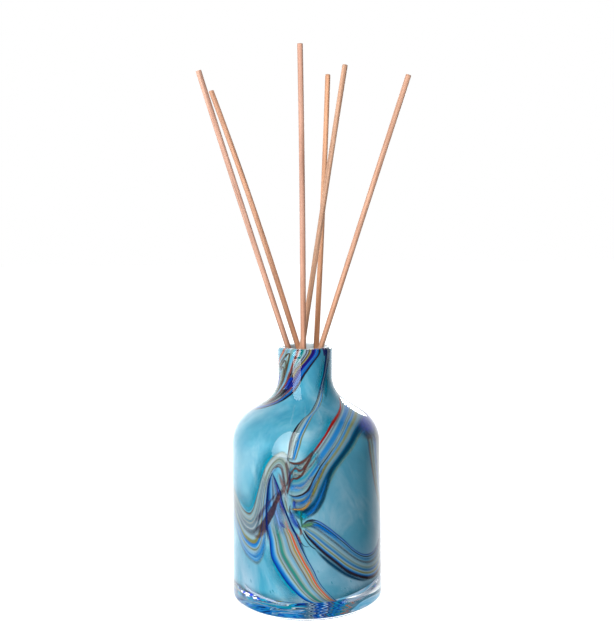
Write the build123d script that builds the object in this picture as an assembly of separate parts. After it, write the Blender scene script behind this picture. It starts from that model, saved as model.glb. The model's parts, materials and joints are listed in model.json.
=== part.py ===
"""Reed diffuser: a cased glass bottle of fragrance oil with six loose rattan reeds."""
from build123d import *
import math
import os

# Driving dimensions, in millimetres. The origin is on the bottle's axis, on the surface it stands on.
bottle_height = 135.0
neck_radius = 14.7          # outside of the neck
hip_radius = 40.0           # outside, where the shoulder's and the wall's lines meet
foot_radius = 41.2          # outside, at the foot: the wall widens a little downwards
throat_height = 110.4       # where the neck's and the shoulder's lines meet
shoulder_slope = 33.0       # degrees below level
throat_round = 16.0
hip_round = 20.0
foot_round = 2.5
lip_round = 1.8

casing_wall = 2.9           # clear outer glass
casing_base = 8.0
liner_wall = 1.2            # coloured inner glass
liner_base = 3.2
liner_round = 6.0           # outer corner at the liner's floor
cavity_round = 3.0          # inner corner at the liner's floor
liner_lip_round = 0.8

oil_level = 63.0

reed_radius = 1.5
reed_length = 280.0
short_reed_length = 274.0
reed_chamfer = 0.2
channel_clearance = 0.3     # oil kept back from each reed
foot_gap = 0.1              # under the lowest edge of a reed's foot

floor_height = casing_base + liner_base

# Each reed's axis: the point it starts from on the bottle's floor, and where it passes the rim's level.
reeds = {
    "reed_1": ((28.9, 17.2), (-8.8, 1.4), reed_length),
    "reed_2": ((33.7, 0.5), (-5.6, 6.9), short_reed_length),
    "reed_3": ((-1.5, -1.5), (-1.2, -6.8), reed_length),
    "reed_4": ((-1.4, -21.5), (5.8, 5.4), reed_length),
    "reed_5": ((-21.5, -17.0), (-1.3, -2.0), reed_length),
    "reed_6": ((-32.3, -3.0), (8.7, -1.3), reed_length),
}


def skin(inset, bottom, corner_round, top):
    """Solid inside the bottle's outer surface moved inwards by inset, from bottom to top."""
    slope = math.radians(shoulder_slope)
    drop = inset * (1 / math.cos(slope) - math.tan(slope))
    hip_height = throat_height - (hip_radius - neck_radius) * math.tan(slope)
    side = FilletPolyline(
        (0, bottom),
        (foot_radius - inset, bottom),
        (hip_radius - inset, hip_height - drop),
        (neck_radius - inset, throat_height - drop),
        (neck_radius - inset, top),
        radius=[corner_round, hip_round - inset, throat_round + inset],
    )
    axis_side = Polyline((neck_radius - inset, top), (0, top), (0, bottom))
    return revolve(Plane.XZ * make_face(side + axis_side), axis=Axis.Z)


def round_edge_at(solid, radius_at, height, rounding):
    """Round the circular edge of the given radius at the given height."""
    edges = solid.edges().filter_by(GeomType.CIRCLE)
    edges = [e for e in edges if abs(e.center().Z - height) < 0.01 and abs(e.radius - radius_at) < 0.01]
    return fillet(edges, rounding)


def clear_casing():
    """Outer layer of clear glass, with a thick flat base and a fire-rounded lip."""
    outside = skin(0, 0, foot_round, bottle_height)
    inside = skin(casing_wall, casing_base, liner_round, bottle_height + 1)
    return round_edge_at(outside - inside, neck_radius, bottle_height, lip_round)


def cavity(top):
    """The space inside both layers of glass."""
    return skin(casing_wall + liner_wall, floor_height, cavity_round, top)


def turquoise_liner():
    """Inner layer of coloured glass, face to face with the clear layer."""
    layer = skin(casing_wall, casing_base, liner_round, bottle_height) - cavity(bottle_height + 1)
    return round_edge_at(layer, neck_radius - casing_wall - liner_wall, bottle_height, liner_lip_round)


def reed_plane(foot, at_rim):
    """Plane at the reed's foot, its z direction along the reed, its lowest edge just above the floor."""
    start = Vector(foot[0], foot[1], floor_height)
    along = (Vector(at_rim[0], at_rim[1], bottle_height) - start).normalized()
    tilt_rise = reed_radius * math.sqrt(1 - along.Z ** 2)
    lift = (tilt_rise + foot_gap) / along.Z
    return Plane(origin=start + along * lift, z_dir=along)


def reed(foot, at_rim, length):
    """A straight round reed with lightly broken edges at both ends."""
    rod = Cylinder(reed_radius, length, align=(Align.CENTER, Align.CENTER, Align.MIN))
    rod = chamfer(rod.edges().filter_by(GeomType.CIRCLE), reed_chamfer)
    return reed_plane(foot, at_rim) * rod


def fragrance_oil():
    """The oil at rest, standing clear of every reed."""
    level_cut = Pos(0, 0, oil_level) * Box(100, 100, 100, align=(Align.CENTER, Align.CENTER, Align.MIN))
    oil = cavity(bottle_height) - level_cut
    for foot, at_rim, _ in reeds.values():
        channel = Cylinder(reed_radius + channel_clearance, 2 * bottle_height)
        oil -= reed_plane(foot, at_rim) * channel
    return oil


def main():
    nodes = {
        "clear_casing": clear_casing(),
        "turquoise_liner": turquoise_liner(),
        "fragrance_oil": fragrance_oil(),
    }
    for name, (foot, at_rim, length) in reeds.items():
        nodes[name] = reed(foot, at_rim, length)
    os.makedirs("parts", exist_ok=True)
    for name, shape in nodes.items():
        export_step(shape, f"parts/{name}.step")
        print(name, round(shape.volume / 1000, 2), "cm3")


main()
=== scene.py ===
"""Reed diffuser: a cased glass bottle with coloured glass bands between its layers, and six rattan reeds."""
import bpy
import json
import math
import numpy as np
from mathutils import Matrix, Vector


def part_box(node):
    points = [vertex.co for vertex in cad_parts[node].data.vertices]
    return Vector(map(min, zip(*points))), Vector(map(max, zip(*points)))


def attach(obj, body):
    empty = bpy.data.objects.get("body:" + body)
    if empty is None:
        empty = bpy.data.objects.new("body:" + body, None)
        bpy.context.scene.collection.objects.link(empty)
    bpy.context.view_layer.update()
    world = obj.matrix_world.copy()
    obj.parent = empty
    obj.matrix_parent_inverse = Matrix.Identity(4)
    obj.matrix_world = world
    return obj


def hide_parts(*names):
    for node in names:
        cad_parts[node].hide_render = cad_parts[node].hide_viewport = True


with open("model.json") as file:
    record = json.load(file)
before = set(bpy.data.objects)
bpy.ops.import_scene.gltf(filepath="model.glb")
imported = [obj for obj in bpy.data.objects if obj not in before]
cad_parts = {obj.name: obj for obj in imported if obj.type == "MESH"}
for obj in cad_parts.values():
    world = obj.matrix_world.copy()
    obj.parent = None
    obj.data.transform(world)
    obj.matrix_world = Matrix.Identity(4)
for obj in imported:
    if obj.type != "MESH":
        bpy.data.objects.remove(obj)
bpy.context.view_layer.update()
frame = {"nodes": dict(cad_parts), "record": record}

MM = 0.001

# Bottle, in millimetres, as in the CAD model
bottle_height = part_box("clear_casing")[1][2] / MM
foot_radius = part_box("clear_casing")[1][0] / MM
neck_radius = 14.7
hip_radius = 40.0
throat_height = 110.4
shoulder_slope = math.radians(33)
throat_round = 16.0
hip_round = 20.0
foot_round = 2.5
casing_wall = 2.9
casing_base = 8.0
liner_wall = 1.2
liner_base = 3.2
liner_round = 6.0
cavity_round = 3.0
liner_top = bottle_height - 0.5       # the colour runs up to the clear lip
oil_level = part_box("fragrance_oil")[1][2] / MM
bottle_segments = 288                 # round the bottle

reed_radius = 1.5
reed_around = 72                      # points round a reed, and rings of them along it
reed_rows = 281
reed_names = [name for name in frame["nodes"] if name.startswith("reed_")]


# ---- meshes

def new_object(name, verts, faces, material, body):
    """A smooth mesh piece, given in millimetres, riding a CAD body."""
    mesh = bpy.data.meshes.new(name)
    mesh.from_pydata([tuple(v) for v in np.asarray(verts) * MM], [], [list(map(int, f)) for f in faces])
    mesh.update()
    mesh.validate()
    mesh.shade_smooth()
    piece = bpy.data.objects.new(name, mesh)
    bpy.context.scene.collection.objects.link(piece)
    mesh.materials.append(material)
    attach(piece, body)
    return piece


def arc(centre, radius, start, end, steps):
    """Points of an arc in the (radius, height) plane, angles in degrees."""
    angles = np.radians(np.linspace(start, end, steps))
    return [(centre[0] + radius * math.cos(a), centre[1] + radius * math.sin(a)) for a in angles]


def rounded(points, radii, steps):
    """The line through points with each inner corner rounded."""
    points = [np.array(p, float) for p in points]
    line = [points[0]]
    for before, corner, after, radius in zip(points, points[1:], points[2:], radii):
        back = (before - corner) / np.linalg.norm(before - corner)
        on = (after - corner) / np.linalg.norm(after - corner)
        half = math.acos(float(np.clip(back @ on, -1, 1))) / 2
        start = corner + back * radius / math.tan(half)
        end = corner + on * radius / math.tan(half)
        centre = corner + (back + on) / np.linalg.norm(back + on) * radius / math.sin(half)
        first = math.atan2(*(start - centre)[::-1])
        turn = (math.atan2(*(end - centre)[::-1]) - first + math.pi) % (2 * math.pi) - math.pi
        for angle in first + turn * np.linspace(0, 1, steps):
            line.append(centre + radius * np.array([math.cos(angle), math.sin(angle)]))
    line.append(points[-1])
    return line


def skin_line(inset, bottom, corner_round, top):
    """The bottle's outer line moved inwards, from the axis under the floor up to top."""
    drop = inset * (1 / math.cos(shoulder_slope) - math.tan(shoulder_slope))
    hip_height = throat_height - (hip_radius - neck_radius) * math.tan(shoulder_slope)
    corners = [
        (0, bottom),
        (foot_radius - inset, bottom),
        (hip_radius - inset, hip_height - drop),
        (neck_radius - inset, throat_height - drop),
        (neck_radius - inset, top),
    ]
    return rounded(corners, (corner_round, hip_round - inset, throat_round + inset), 24)


def evenly(line, step):
    """The same line with points no further apart than step."""
    out = [line[0]]
    for a, b in zip(line, line[1:]):
        count = max(1, math.ceil(math.dist(a, b) / step))
        out += [np.add(a, np.subtract(b, a) * k / count) for k in range(1, count + 1)]
    return out[:1] + [p for before, p in zip(out, out[1:]) if math.dist(before, p) > 1e-4]


def lathe(line, segments):
    """Vertices and faces of a line turned about Z. A line that starts or ends on the axis closes there."""
    verts, rings, faces = [], [], []
    angles = np.linspace(0, 2 * np.pi, segments, endpoint=False)
    for r, z in line:
        if r < 1e-6:
            rings.append([len(verts)])
            verts.append((0, 0, z))
            continue
        rings.append(list(range(len(verts), len(verts) + segments)))
        verts += [(r * math.cos(a), r * math.sin(a), z) for a in angles]
    for low, high in zip(rings, rings[1:]):
        for k in range(segments):
            j = (k + 1) % segments
            if len(low) == 1:
                faces.append((low[0], high[j], high[k]))
            elif len(high) == 1:
                faces.append((low[k], low[j], high[0]))
            else:
                faces.append((low[k], low[j], high[j], high[k]))
    return np.array(verts), faces


def waves(points, size, amount):
    """Slow hand-made unevenness, a smooth value per point between about -amount and amount."""
    x, y, z = (points / size).T
    value = np.sin(x * 2.1 + 1.3 * np.sin(z * 1.7 + 0.4)) * np.cos(y * 1.9 + z * 0.8)
    value += 0.5 * np.sin(x * 4.3 - y * 3.1 + z * 2.7 + 1.1)
    return amount * value / 1.5


# ---- node helpers

def material(name):
    """A new node material, its tree, and its Principled shader."""
    made = bpy.data.materials.new(name)
    made.use_nodes = True
    tree = made.node_tree
    return made, tree, tree.nodes["Principled BSDF"]


def feed(target, inputs):
    """A node's inputs by name or number: a socket is linked, and anything else is set on the input itself."""
    for key, value in inputs.items():
        if isinstance(value, bpy.types.NodeSocket):
            target.id_data.links.new(value, target.inputs[key])
        else:
            target.inputs[key].default_value = value


def node(tree, kind, inputs, **settings):
    """A new node with its settings and inputs."""
    made = tree.nodes.new(kind)
    for key, value in settings.items():
        setattr(made, key, value)
    feed(made, inputs)
    return made


def ramp(tree, factor, stops, mode="LINEAR"):
    """Colour and opacity from a ramp with stops of (position, colour); a fourth number is the opacity."""
    made = node(tree, "ShaderNodeValToRGB", {0: factor})
    made.color_ramp.interpolation = mode
    elements = made.color_ramp.elements
    while len(elements) > 1:
        elements.remove(elements[-1])
    elements[0].position = stops[0][0]
    elements[0].color = (*stops[0][1], 1)[:4]
    for position, colour in stops[1:]:
        elements.new(position).color = (*colour, 1)[:4]
    return made.outputs


def mix(tree, factor, a, b, blend="MIX"):
    """Colour mix of a and b; each may be a socket or a colour."""
    a, b = (c if isinstance(c, bpy.types.NodeSocket) else (*c, 1) for c in (a, b))
    inputs = {0: factor, 6: a, 7: b}
    return node(tree, "ShaderNodeMix", inputs, data_type="RGBA", blend_type=blend).outputs[2]


def multiplied(tree, a, b):
    """Colour a times colour b."""
    return mix(tree, 1.0, a, b, "MULTIPLY")


def maths(tree, operation, a, b):
    """One math node's result."""
    return node(tree, "ShaderNodeMath", {0: a, 1: b}, operation=operation).outputs[0]


def times(tree, a, b):
    """Value a times value b."""
    return maths(tree, "MULTIPLY", a, b)


def fit(tree, value, low, high, first=0.0, last=1.0):
    """A value's way from low to high, turned into first to last and held there beyond the ends."""
    return node(tree, "ShaderNodeMapRange", {0: value, 1: low, 2: high, 3: first, 4: last}).outputs[0]


def noise(tree, vector, scale, detail=3.0, roughness=0.5, distortion=0.0):
    """Noise value at a vector."""
    inputs = {"Scale": scale, "Detail": detail, "Roughness": roughness, "Distortion": distortion}
    return node(tree, "ShaderNodeTexNoise", {"Vector": vector, **inputs}).outputs[0]


def cells(tree, vector, scale):
    """Distance to the nearest of many scattered points."""
    return node(tree, "ShaderNodeTexVoronoi", {"Vector": vector, "Scale": scale}).outputs[0]


def stretched(tree, source, scale):
    """Coordinates scaled along each axis."""
    return node(tree, "ShaderNodeVectorMath", {0: source, 1: scale}, operation="MULTIPLY").outputs[0]


def split(tree, vector):
    """The three parts of a vector."""
    return node(tree, "ShaderNodeSeparateXYZ", {0: vector}).outputs


def bumped(tree, height, strength, distance):
    """A normal that follows a height."""
    inputs = {"Height": height, "Strength": strength, "Distance": distance}
    return node(tree, "ShaderNodeBump", inputs).outputs[0]


def piece_place(tree):
    """Coordinates fixed to the piece, in metres."""
    return node(tree, "ShaderNodeTexCoord", {}).outputs["Object"]


def uv_place(tree):
    """Coordinates laid along and across a band or a reed."""
    return node(tree, "ShaderNodeUVMap", {}, uv_map="UVMap").outputs[0]


# ---- materials

# Ends of a ramp that gives a share, not a colour
NOTHING = (0, 0, 0)
FULL = (1, 1, 1)


def clear_glass():
    """The clear outer layer, very slightly rippled."""
    made, tree, shader = material("clear_glass")
    ripple = noise(tree, piece_place(tree), 28.0, 2.0, 0.4)
    feed(shader, {
        "Base Color": (0.97, 0.99, 1.0, 1),
        "Transmission Weight": 1,
        "Roughness": 0.0,
        "IOR": 1.5,
        "Normal": bumped(tree, ripple, 0.12, 0.004),
    })
    return made


def cloudy_ground(tree, slanted, drawn):
    """Turquoise in clouds and long streaks."""
    clouds = noise(tree, drawn, 34.0, 6.0, 0.6, 1.4)
    ground = ramp(tree, clouds, [
        (0.30, (0.012, 0.185, 0.292)),
        (0.42, (0.050, 0.248, 0.345)),
        (0.55, (0.100, 0.300, 0.392)),
        (0.70, (0.290, 0.450, 0.510)),
    ])[0]
    streaks = noise(tree, stretched(tree, slanted, (1.0, 1.0, 0.10)), 130.0, 4.0, 0.6, 0.8)
    streaks = ramp(tree, streaks, [(0.35, (0.82, 0.91, 0.95)), (0.65, (1.25, 1.10, 1.06))])[0]
    return mix(tree, 0.8, ground, multiplied(tree, ground, streaks))


def turquoise_glass():
    """Opaque turquoise with painted shade that darkens its right side, milk and dark grains near the foot,
    and a rim painted pale as a highlight.
    """
    made, tree, shader = material("turquoise_glass")
    place = piece_place(tree)
    right, _, height = split(tree, place)
    slanted = node(tree, "ShaderNodeMapping", {0: place, "Rotation": (0.0, 0.45, 0.0)}).outputs[0]
    drawn = stretched(tree, slanted, (1.0, 1.0, 0.36))
    ground = cloudy_ground(tree, slanted, drawn)
    # Painted shade: from the middle to the right side the ground is mixed towards a darker grey-teal,
    # standing in for the shade away from the window light.
    ground = mix(tree, fit(tree, right, -0.004, 0.012, 0.0, 0.68), ground, (0.038, 0.152, 0.222))

    near_foot = fit(tree, height, 0.040, 0.014)
    milk = ramp(tree, noise(tree, drawn, 52.0, 4.0, 0.5, 0.6), [(0.38, NOTHING), (0.64, FULL)])[0]
    ground = mix(tree, times(tree, milk, times(tree, near_foot, 0.85)), ground, (0.27, 0.38, 0.46))
    grain_size = times(tree, noise(tree, place, 90.0, 2.0), 0.30)
    grains = maths(tree, "LESS_THAN", cells(tree, drawn, 380.0), grain_size)
    ground = mix(tree, times(tree, grains, times(tree, near_foot, 0.7)), ground, (0.0, 0.13, 0.19))

    # Painted highlight: the liner's top edge is painted pale for the thin light line along the lip.
    rim = fit(tree, height, (liner_top - 0.1) * MM, (liner_top + 0.1) * MM)
    ground = mix(tree, rim, ground, (0.52, 0.60, 0.64))
    feed(shader, {"Base Color": ground, "Roughness": 0.55, "Specular IOR Level": 0.0})
    return made


def opal_glass():
    """The pale inside of the coloured layer, with a painted glow that stands in for the light coming through
    it.
    """
    made, tree, shader = material("opal_glass")
    mottle = noise(tree, piece_place(tree), 70.0, 3.0)
    feed(shader, {
        "Base Color": ramp(tree, mottle, [(0.3, (0.30, 0.42, 0.47)), (0.7, (0.44, 0.50, 0.53))])[0],
        "Roughness": 0.12,
        # Painted glow: this emission stands in for light that comes through the layer; the surface is no
        # lamp.
        "Emission Color": (0.85, 0.93, 0.97, 1),
        "Emission Strength": 0.10,
    })
    made.cycles.emission_sampling = "NONE"
    return made


def fuse(tree, shader, colour, opacity=None):
    """Glass fused between the bottle's two layers: no gloss of its own, and melting away at its ends."""
    ends = node(tree, "ShaderNodeAttribute", {}, attribute_name="fade").outputs["Fac"]
    alpha = ends if opacity is None else times(tree, opacity, ends)
    feed(shader, {"Base Color": colour, "Alpha": alpha, "Roughness": 0.5, "Specular IOR Level": 0.0})


def band_glass(name, stripes, wobble=0.05):
    """Striped glass: each stripe is its place across the band, its colour, and its opacity if under 1."""
    made, tree, shader = material(name)
    uv = uv_place(tree)
    drift = noise(tree, stretched(tree, uv, (1.0, 2.5, 1.0)), 1.3, 3.0, 0.5, 0.4)
    drift = times(tree, maths(tree, "SUBTRACT", drift, 0.5), wobble)
    across = maths(tree, "ADD", split(tree, uv)[1], drift)
    stops = [(place, (*colour, *opacity)) for place, colour, *opacity in stripes]
    colours, opacity = ramp(tree, across, stops)
    streaks = noise(tree, stretched(tree, uv, (0.6, 26.0, 1.0)), 1.0, 4.0, 0.6)
    tone = ramp(tree, streaks, [(0.3, (0.72, 0.72, 0.76)), (0.7, (1.25, 1.25, 1.22))])[0]
    fuse(tree, shader, mix(tree, 0.5, colours, multiplied(tree, colours, tone)), opacity)
    return made


def soft_glass(name, colour, opacity=1, edge=0.3):
    """One colour that melts into the glass at both of its sides."""
    stripes = [(0, colour, 0), (edge, colour, opacity), (1 - edge, colour, opacity), (1, colour, 0)]
    return band_glass(name, stripes)


def cane_glass(name, size, stops):
    """Melted canes seen edge-on: short streaks from side to side in many colours."""
    made, tree, shader = material(name)
    place = stretched(tree, piece_place(tree), (0.8, 1.0, 1.0))
    streaks = noise(tree, place, 1 / (size * MM), 2.5, 0.5, 0.9)
    fuse(tree, shader, ramp(tree, streaks, stops, "CONSTANT")[0])
    return made


def rattan(name, tint):
    """Peeled rattan: fine fibres along the reed, and darker where oil has crept up."""
    made, tree, shader = material(name)
    uv = uv_place(tree)
    grain = noise(tree, stretched(tree, uv, (9.0, 0.2, 1.0)), 1.0)
    fibres = noise(tree, stretched(tree, uv, (36.0, 0.35, 1.0)), 1.0)
    shade = maths(tree, "ADD", times(tree, grain, 0.7), times(tree, fibres, 0.3))
    dark, light, pore = (tuple(share * c for c in tint) for share in (0.68, 1.2, 0.5))
    colour = ramp(tree, shade, [(0.36, dark), (0.5, tint), (0.64, light)])[0]
    blotch = noise(tree, stretched(tree, uv, (2.0, 0.5, 1.0)), 1.0)
    blotch = ramp(tree, blotch, [(0.35, (0.92, 0.86, 0.83)), (0.65, (1.04, 1.03, 1.02))])[0]
    colour = multiplied(tree, colour, blotch)
    pores = noise(tree, stretched(tree, uv, (48.0, 1.2, 1.0)), 1.0, 2.0)
    pores = ramp(tree, pores, [(0.66, NOTHING), (0.76, FULL)])[0]
    colour = mix(tree, times(tree, pores, 0.3), colour, pore)
    oiled = fit(tree, split(tree, uv)[1], 19.0, 10.0, 0.0, 0.8)
    colour = mix(tree, oiled, colour, multiplied(tree, colour, (0.92, 0.78, 0.62)))
    feed(shader, {
        "Base Color": colour,
        "Roughness": 0.62,
        "Specular IOR Level": 0.3,
        "Normal": bumped(tree, shade, 0.15, 0.0001),
    })
    return made


def rattan_end():
    """Cut end of a reed: pale pith with open pores."""
    made, tree, shader = material("rattan_end")
    pith = [(0.1, (0.16, 0.07, 0.04)), (0.35, (0.52, 0.33, 0.22)), (0.6, (0.66, 0.46, 0.33))]
    tone = ramp(tree, cells(tree, piece_place(tree), 3200.0), pith)[0]
    feed(shader, {"Base Color": tone, "Roughness": 0.8})
    return made


def oil_liquid():
    """Amber oil, a little cloudy."""
    made, tree, shader = material("fragrance_oil")
    cloud = noise(tree, piece_place(tree), 40.0, 2.0)
    tone = ramp(tree, cloud, [(0.3, (0.86, 0.72, 0.40)), (0.7, (0.95, 0.84, 0.55))])[0]
    feed(shader, {"Base Color": tone, "Transmission Weight": 0.85, "Roughness": 0.0, "IOR": 1.44})
    return made


def floor_white():
    """A pale table that glows, and less for the light that bounces off it than for the eye."""
    made, tree, shader = material("floor_white")
    mottle = noise(tree, piece_place(tree), 9.0, 2.0)
    bounced = node(tree, "ShaderNodeLightPath", {}).outputs["Is Diffuse Ray"]
    feed(shader, {
        "Base Color": ramp(tree, mottle, [(0.3, (0.44, 0.44, 0.44)), (0.7, (0.46, 0.46, 0.46))])[0],
        "Roughness": 0.9,
        "Specular IOR Level": 0.1,
        "Emission Color": (1, 1, 1, 1),
        "Emission Strength": fit(tree, bounced, 0.0, 1.0, 1.0, 0.4),
    })
    made.cycles.emission_sampling = "NONE"
    return made


# ---- glass

def uneven(verts, inside):
    """Vertices with the outer wall drawn in a little here and there, as it is when blown by hand."""
    foot, lip, least_wall = 1.0, 4.0, 1.0
    radius = np.hypot(verts[:, 0], verts[:, 1])
    inner = np.interp(verts[:, 2], *zip(*[(z, r) for r, z in inside[1:]]))
    outer = (radius > inner + least_wall) & (verts[:, 2] > foot) & (verts[:, 2] < bottle_height - lip)
    shift = np.where(outer, waves(verts, 22.0, 0.12) - 0.14, 0.0)
    verts[:, :2] *= (1 + shift / np.maximum(radius, 1))[:, None]
    return verts


def clear_casing(glass):
    """The clear outer layer: outside, fire-rounded lip, and the inside face that the colour lies on."""
    lip_round = 1.8
    outside = skin_line(0, 0, foot_round, bottle_height - lip_round)
    over = arc((neck_radius - lip_round, bottle_height - lip_round), lip_round, 0, 90, 13)[1:]
    inside = skin_line(casing_wall, casing_base, liner_round, bottle_height)
    verts, faces = lathe(evenly(outside + over + inside[::-1], 1.0), bottle_segments)
    piece = new_object("clear_casing_glass", uneven(verts, inside), faces, glass, "bottle")
    piece.visible_shadow = False
    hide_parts("clear_casing")


def turquoise_liner(colour, opal):
    """The coloured layer. Its outer face reaches a hair into the clear glass, so that no gap shows."""
    overlap, edge_round = 0.02, 0.8
    edge_height = bottle_height - edge_round
    wall, base = casing_wall + liner_wall, casing_base + liner_base
    outside = skin_line(casing_wall - overlap, casing_base - overlap, liner_round, bottle_height)
    edge = arc((neck_radius - wall + edge_round, edge_height), edge_round, 90, 180, 9)
    inside = skin_line(wall, base, cavity_round, edge_height)
    line = evenly(outside + edge + inside[-2::-1], 1.2)
    verts, faces = lathe(line, bottle_segments)
    piece = new_object("turquoise_liner_glass", verts, faces, colour, "bottle")
    piece.data.materials.append(opal)
    edge_ring = min(range(len(line)), key=lambda k: math.dist(line[k], edge[0]))
    first_pale = 1 + edge_ring * bottle_segments
    for face in piece.data.polygons:
        if min(face.vertices) >= first_pale:
            face.material_index = 1
    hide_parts("turquoise_liner")


# ---- coloured bands

# The liner's outer face, unrolled: height above the table on the wall, then on along the underside.
face_line = np.array(evenly(skin_line(casing_wall, casing_base, liner_round, liner_top), 0.4))
corner_top = casing_base + liner_round
band_rise = 0.05                      # a band's faces stand this far off the liner's, and each layer more
layer_rise = 0.03
face_length = np.concatenate([[0], np.cumsum(np.linalg.norm(np.diff(face_line, axis=0), axis=1))])
under_corner = np.interp(corner_top, face_line[:, 1], face_length) - face_length
unrolled = np.where(face_line[:, 1] > corner_top, face_line[:, 1], corner_top - under_corner)


def on_liner(angle, height, raised):
    """Points on the liner's outer face. The angle is in degrees, 0 at the front, growing to the right."""
    margin, reach = 0.5, 0.3
    height = np.clip(height, unrolled[0] + margin, liner_top)
    near = (height, np.clip(height + reach, None, liner_top), height - reach)
    radius, radius_above, radius_below = (np.interp(h, unrolled, face_line[:, 0]) for h in near)
    level, level_above, level_below = (np.interp(h, unrolled, face_line[:, 1]) for h in near)
    run_r = radius_above - radius_below
    run_z = level_above - level_below
    run = np.hypot(run_r, run_z)
    return round_axis(angle, radius + raised * run_z / run, level - raised * run_r / run)


def round_axis(angle, radius, height):
    """Points at an angle in degrees from the front, growing to the right."""
    turn = np.radians(angle)
    return np.stack([radius * np.sin(turn), -radius * np.cos(turn), height], axis=-1)


def smooth_line(points, count):
    """count points on a Catmull-Rom curve through points, evenly spread along it."""
    p = np.array(points, float)
    p = np.vstack([2 * p[0] - p[1], p, 2 * p[-1] - p[-2]])
    fine = []
    for a, b, c, d in zip(p, p[1:], p[2:], p[3:]):
        for t in np.linspace(0, 1, 24, endpoint=False):
            fine.append(0.5 * (2 * b + (c - a) * t + (2 * a - 5 * b + 4 * c - d) * t ** 2
                               + (3 * b - a - 3 * c + d) * t ** 3))
    fine.append(p[-2])
    fine = np.array(fine)
    place = np.linspace(0, len(fine) - 1, count)
    return np.stack([np.interp(place, np.arange(len(fine)), fine[:, k]) for k in (0, 1)], axis=-1)


def ribbon_faces(rows, columns):
    """Faces of a closed ribbon: a grid, the same grid under it turned over, and a rim between the two."""
    total = rows * columns
    top = [(i * columns + j, (i + 1) * columns + j, (i + 1) * columns + j + 1, i * columns + j + 1)
           for i in range(rows - 1) for j in range(columns - 1)]
    under = [tuple(v + total for v in reversed(face)) for face in top]
    rim = [i * columns for i in range(rows)] + [(rows - 1) * columns + j for j in range(1, columns)]
    rim += [i * columns + columns - 1 for i in range(rows - 2, -1, -1)] + list(range(columns - 2, 0, -1))
    return top + under + [(v, v + total, w + total, w) for w, v in zip(rim, rim[1:] + rim[:1])]


def lay_colour(mesh, along, share, fade):
    """Places for the stripes, in centimetres along and shares across, and a value that fades at each end."""
    uv = np.stack(np.broadcast_arrays(along[:, None] / 10, share[None, :]), axis=-1).reshape(-1, 2)
    corners = np.zeros(len(mesh.loops), dtype=int)
    mesh.loops.foreach_get("vertex_index", corners)
    mesh.uv_layers.new(name="UVMap").data.foreach_set("uv", np.tile(uv, (2, 1))[corners].ravel())
    whole = along / along[-1]
    ends = np.ones_like(whole)
    for way, length in ((whole, fade[0]), (1 - whole, fade[1])):
        if length:
            ends *= np.clip(way / length, 0, 1)
    ends = np.repeat(ends * ends * (3 - 2 * ends), len(share))
    mesh.attributes.new("fade", "FLOAT", "POINT").data.foreach_set("value", np.tile(ends, 2))


def band(name, left, right, glass, layer, fade=(0, 0), across=28, step=0.6, lay=on_liner):
    """A thin closed band of glass laid on the liner between two lines of (angle, height) points.

    Both lines have the same number of points, and each stripe keeps its share of the width between them.
    layer sets which band lies over which, and fade the share of its length over which each end melts away."""
    lines = [lay(*np.array(line, float).T, 0) for line in (left, right)]
    longest = max(np.linalg.norm(np.diff(line, axis=0), axis=1).sum() for line in lines)
    count = max(12, int(longest / step))
    share = np.linspace(0, 1, across + 1)
    a, b = (smooth_line(line, count)[:, None, :] for line in (left, right))
    grid = a * (1 - share[None, :, None]) + b * share[None, :, None]
    top = lay(grid[..., 0], grid[..., 1], band_rise + layer_rise * layer)
    under = lay(grid[..., 0], grid[..., 1], -band_rise)
    points = np.concatenate([top.reshape(-1, 3), under.reshape(-1, 3)])
    piece = new_object(name, points, ribbon_faces(count, len(share)), glass, "bottle")
    middle = top[:, len(share) // 2]
    along = np.concatenate([[0], np.cumsum(np.linalg.norm(np.diff(middle, axis=0), axis=1))])
    lay_colour(piece.data, along, share, fade)


def striped_band(name, stripes, left, right, layer, fade=(0, 0), wobble=0.05):
    """A band in striped glass of its own."""
    band(name, left, right, band_glass(f"glass_{name}", stripes, wobble), layer, fade)


def thread(name, points, width, glass, layer, fade):
    """A narrow band along one line, of one width or of a width for each point."""
    centre = np.array(points, float)
    radius = np.linalg.norm(on_liner(*centre.T, 0)[:, :2], axis=1)
    flat = np.stack([np.radians(centre[:, 0]) * radius, centre[:, 1]], axis=-1)
    run = np.gradient(flat, axis=0)
    side = np.stack([-run[:, 1], run[:, 0]], axis=-1) / np.linalg.norm(run, axis=1)[:, None]
    side *= np.broadcast_to(width, len(points))[:, None] / 2
    shift = np.stack([np.degrees(side[:, 0] / radius), side[:, 1]], axis=-1)
    band(name, centre + shift, centre - shift, glass, layer, fade, 8)


def threads(kind, colour, lines, layer, opacity=1, edge=0.3, fade=(0.12, 0.2)):
    """Threads of one colour; each line is (width, points)."""
    glass = soft_glass(f"glass_{kind}", colour, opacity, edge)
    for number, (width, points) in enumerate(lines, 1):
        thread(f"{kind}_{number}", points, width, glass, layer, fade)


# Colours of the glass canes, linear
NAVY = (0.002, 0.010, 0.075)
INDIGO = (0.010, 0.003, 0.075)
ROYAL = (0.001, 0.026, 0.250)
BLUE = (0.001, 0.090, 0.300)
AZURE = (0.020, 0.170, 0.400)
SKY = (0.105, 0.265, 0.400)
PALE = (0.195, 0.300, 0.340)
DUSK = (0.085, 0.210, 0.280)
MIST = (0.200, 0.240, 0.225)
TEAL = (0.000, 0.185, 0.280)
DEEP = (0.000, 0.120, 0.150)
SHADE = (0.000, 0.034, 0.078)
SEA = (0.100, 0.225, 0.245)
GREEN = (0.020, 0.150, 0.125)
SAGE = (0.140, 0.210, 0.175)
OLIVE = (0.135, 0.140, 0.042)
OCHRE = (0.280, 0.170, 0.032)
BROWN = (0.085, 0.042, 0.040)
UMBER = (0.014, 0.009, 0.014)
RUST = (0.300, 0.095, 0.050)
ORANGE = (0.400, 0.068, 0.020)
PURPLE = (0.045, 0.030, 0.075)
GREY = (0.095, 0.145, 0.180)
WHITE = (0.330, 0.400, 0.420)


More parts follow.
